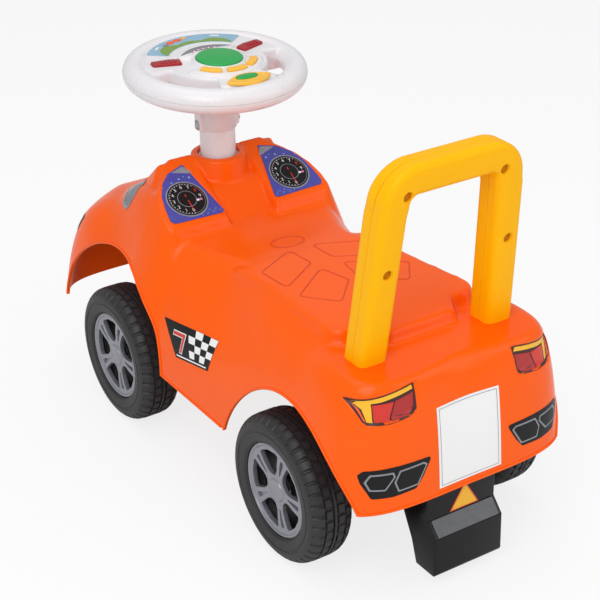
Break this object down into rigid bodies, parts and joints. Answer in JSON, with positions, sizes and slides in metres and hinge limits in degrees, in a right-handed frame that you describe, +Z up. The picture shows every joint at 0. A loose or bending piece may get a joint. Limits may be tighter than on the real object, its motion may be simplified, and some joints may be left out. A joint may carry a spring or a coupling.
{
  "type": "toddler ride-on car",
  "caption": "Foot-powered toddler ride-on car: hollow saddle body, steered front axle, sprung steering-wheel buttons, rear push arch and anti-tip block.",
  "frame": {"origin": "on the floor under the middle of the car's bounding box, halfway between nose and tail", "axes": "+X forward, +Y to the car's left, +Z up"},
  "size_m": [0.6041, 0.286, 0.419],
  "materials": {
    "orange_shell": "glossy",
    "yellow_arch": "satin",
    "white_plastic": "glossy",
    "black_plastic": "satin",
    "silver_plastic": "satin silver",
    "steel": "zinc plated",
    "green_plastic": "glossy",
    "button_yellow": "glossy",
    "red_plastic": "glossy",
    "board": "satin",
    "cell": "satin",
    "speaker": "matte",
    "print_blue": "printed sheet",
    "reflector": "glossy"
  },
  "bodies": {
    "car": {"body_shell": "orange_shell", "handle_rear_half": "yellow_arch", "handle_front_half": "yellow_arch", "handle_screw_1": "steel", "handle_screw_2": "steel", "handle_screw_3": "steel", "handle_screw_4": "steel", "rear_axle_carrier": "black_plastic", "carrier_screw_1": "steel", "carrier_screw_2": "steel", "carrier_screw_3": "steel", "carrier_screw_4": "steel", "anti_tip_block": "black_plastic", "block_screw_1": "steel", "block_screw_2": "steel", "reflector_strip": "reflector", "gauge_panel_left": "print_blue", "gauge_panel_right": "print_blue", "rear_axle": "steel", "push_nut_rear_left": "steel", "push_nut_rear_right": "steel", "column_bush_upper": "white_plastic", "column_bush_lower": "white_plastic"},
    "steering": {"steering_column": "white_plastic", "front_axle_yoke": "black_plastic", "yoke_pin": "steel", "front_axle": "steel", "push_nut_front_left": "steel", "push_nut_front_right": "steel", "steering_wheel_upper": "white_plastic", "steering_wheel_lower": "white_plastic", "column_bolt": "steel", "column_nut": "steel", "circuit_board": "board", "battery_1": "cell", "battery_2": "cell", "battery_door": "white_plastic", "speaker": "speaker", "display_panel": "print_blue", "button_surround": "button_yellow"},
    "front_left_wheel": {"wheel_front_left": "black_plastic", "hub_cap_front_left": "silver_plastic"},
    "front_right_wheel": {"wheel_front_right": "black_plastic", "hub_cap_front_right": "silver_plastic"},
    "rear_left_wheel": {"wheel_rear_left": "black_plastic", "hub_cap_rear_left": "silver_plastic"},
    "rear_right_wheel": {"wheel_rear_right": "black_plastic", "hub_cap_rear_right": "silver_plastic"},
    "horn_button": {"horn_button": "green_plastic"},
    "tune_button_1": {"tune_button_1": "button_yellow"},
    "tune_button_2": {"tune_button_2": "button_yellow"},
    "tune_button_3": {"tune_button_3": "button_yellow"},
    "signal_key_left": {"signal_key_left": "red_plastic"},
    "signal_key_right": {"signal_key_right": "red_plastic"},
    "start_button": {"start_button": "green_plastic"}
  },
  "joints": [
    {"name": "steering", "type": "hinge", "parent": "car", "child": "steering", "pos_m": [0.141, 0, 0.3], "axis": [0, 0, 1], "range_deg": [-12, 12]},
    {"name": "front_left_roll", "type": "hinge", "parent": "steering", "child": "front_left_wheel", "pos_m": [0.141, 0, 0.075], "axis": [0, 1, 0], "continuous": true},
    {"name": "front_right_roll", "type": "hinge", "parent": "steering", "child": "front_right_wheel", "pos_m": [0.141, 0, 0.075], "axis": [0, 1, 0], "continuous": true},
    {"name": "rear_left_roll", "type": "hinge", "parent": "car", "child": "rear_left_wheel", "pos_m": [-0.175, 0, 0.075], "axis": [0, 1, 0], "continuous": true},
    {"name": "rear_right_roll", "type": "hinge", "parent": "car", "child": "rear_right_wheel", "pos_m": [-0.175, 0, 0.075], "axis": [0, 1, 0], "continuous": true},
    {"name": "horn_button_press", "type": "slide", "parent": "steering", "child": "horn_button", "axis": [0.0436, 0, -0.999], "range_m": [0, 0.0015], "stiffness_N_per_m": 400, "springref_m": -0.0005},
    {"name": "tune_button_1_press", "type": "slide", "parent": "steering", "child": "tune_button_1", "axis": [0.0436, 0, -0.999], "range_m": [0, 0.0015], "stiffness_N_per_m": 400, "springref_m": -0.0005},
    {"name": "tune_button_2_press", "type": "slide", "parent": "steering", "child": "tune_button_2", "axis": [0.0436, 0, -0.999], "range_m": [0, 0.0015], "stiffness_N_per_m": 400, "springref_m": -0.0005},
    {"name": "tune_button_3_press", "type": "slide", "parent": "steering", "child": "tune_button_3", "axis": [0.0436, 0, -0.999], "range_m": [0, 0.0015], "stiffness_N_per_m": 400, "springref_m": -0.0005},
    {"name": "signal_key_left_press", "type": "slide", "parent": "steering", "child": "signal_key_left", "axis": [0.0436, 0, -0.999], "range_m": [0, 0.0015], "stiffness_N_per_m": 400, "springref_m": -0.0005},
    {"name": "signal_key_right_press", "type": "slide", "parent": "steering", "child": "signal_key_right", "axis": [0.0436, 0, -0.999], "range_m": [0, 0.0015], "stiffness_N_per_m": 400, "springref_m": -0.0005},
    {"name": "start_button_press", "type": "slide", "parent": "steering", "child": "start_button", "axis": [0.0436, 0, -0.999], "range_m": [0, 0.0015], "stiffness_N_per_m": 400, "springref_m": -0.0005}
  ]
}
